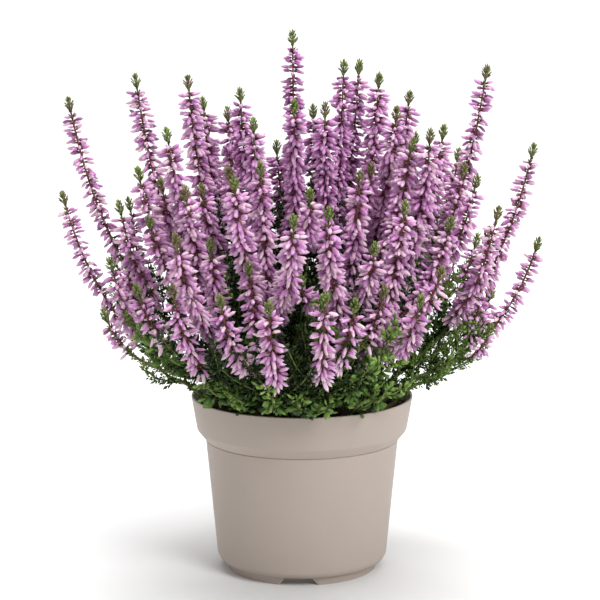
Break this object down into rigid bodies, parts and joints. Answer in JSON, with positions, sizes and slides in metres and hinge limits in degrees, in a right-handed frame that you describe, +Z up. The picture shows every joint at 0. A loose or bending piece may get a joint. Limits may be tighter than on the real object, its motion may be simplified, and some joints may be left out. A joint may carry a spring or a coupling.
{
  "type": "potted heather",
  "caption": "Bud-blooming heather in a plain tapered nursery pot: leafy stems lean out over the rim and end in upright mauve-pink flower spikes with green tips.",
  "frame": {"origin": "middle of the pot's foot, on the surface it stands on", "axes": "+Z up through the pot's axis, front of the plant at -Y, +X to its right"},
  "size_m": [0.256, 0.2388, 0.291],
  "materials": {
    "pot_plastic": "satin taupe-grey moulded plastic, slightly softer sheen on the collar",
    "peat": "moist dark peat with fine lighter brown bits",
    "leaf": "matt mid to dark green scale leaves on red-brown woody stems, yellow-green at the tips",
    "blossom": "papery mauve-pink buds, paler at the tips and dark at the base"
  },
  "bodies": {
    "root": {"pot": "pot_plastic", "peat": "peat", "leafy_stem_01": "leaf", "flower_spray_01": "blossom", "leafy_stem_02": "leaf", "flower_spray_02": "blossom", "leafy_stem_03": "leaf", "flower_spray_03": "blossom", "leafy_stem_04": "leaf", "flower_spray_04": "blossom", "leafy_stem_05": "leaf", "flower_spray_05": "blossom", "leafy_stem_06": "leaf", "flower_spray_06": "blossom", "leafy_stem_07": "leaf", "flower_spray_07": "blossom", "leafy_stem_08": "leaf", "flower_spray_08": "blossom", "leafy_stem_09": "leaf", "flower_spray_09": "blossom", "leafy_stem_10": "leaf", "flower_spray_10": "blossom", "leafy_stem_11": "leaf", "flower_spray_11": "blossom", "leafy_stem_12": "leaf", "flower_spray_12": "blossom", "leafy_stem_13": "leaf", "flower_spray_13": "blossom", "leafy_stem_14": "leaf", "flower_spray_14": "blossom", "leafy_stem_15": "leaf", "flower_spray_15": "blossom", "leafy_stem_16": "leaf", "flower_spray_16": "blossom", "leafy_stem_17": "leaf", "flower_spray_17": "blossom", "leafy_stem_18": "leaf", "flower_spray_18": "blossom", "leafy_stem_19": "leaf", "flower_spray_19": "blossom", "leafy_stem_20": "leaf", "flower_spray_20": "blossom", "leafy_stem_21": "leaf", "flower_spray_21": "blossom", "leafy_stem_22": "leaf", "flower_spray_22": "blossom", "leafy_stem_23": "leaf", "flower_spray_23": "blossom", "leafy_stem_24": "leaf", "flower_spray_24": "blossom", "leafy_stem_25": "leaf", "flower_spray_25": "blossom", "leafy_stem_26": "leaf", "flower_spray_26": "blossom", "leafy_shoot_01": "leaf", "leafy_shoot_02": "leaf", "leafy_shoot_03": "leaf", "leafy_shoot_04": "leaf", "leafy_shoot_05": "leaf", "leafy_shoot_06": "leaf"}
  },
  "joints": []
}
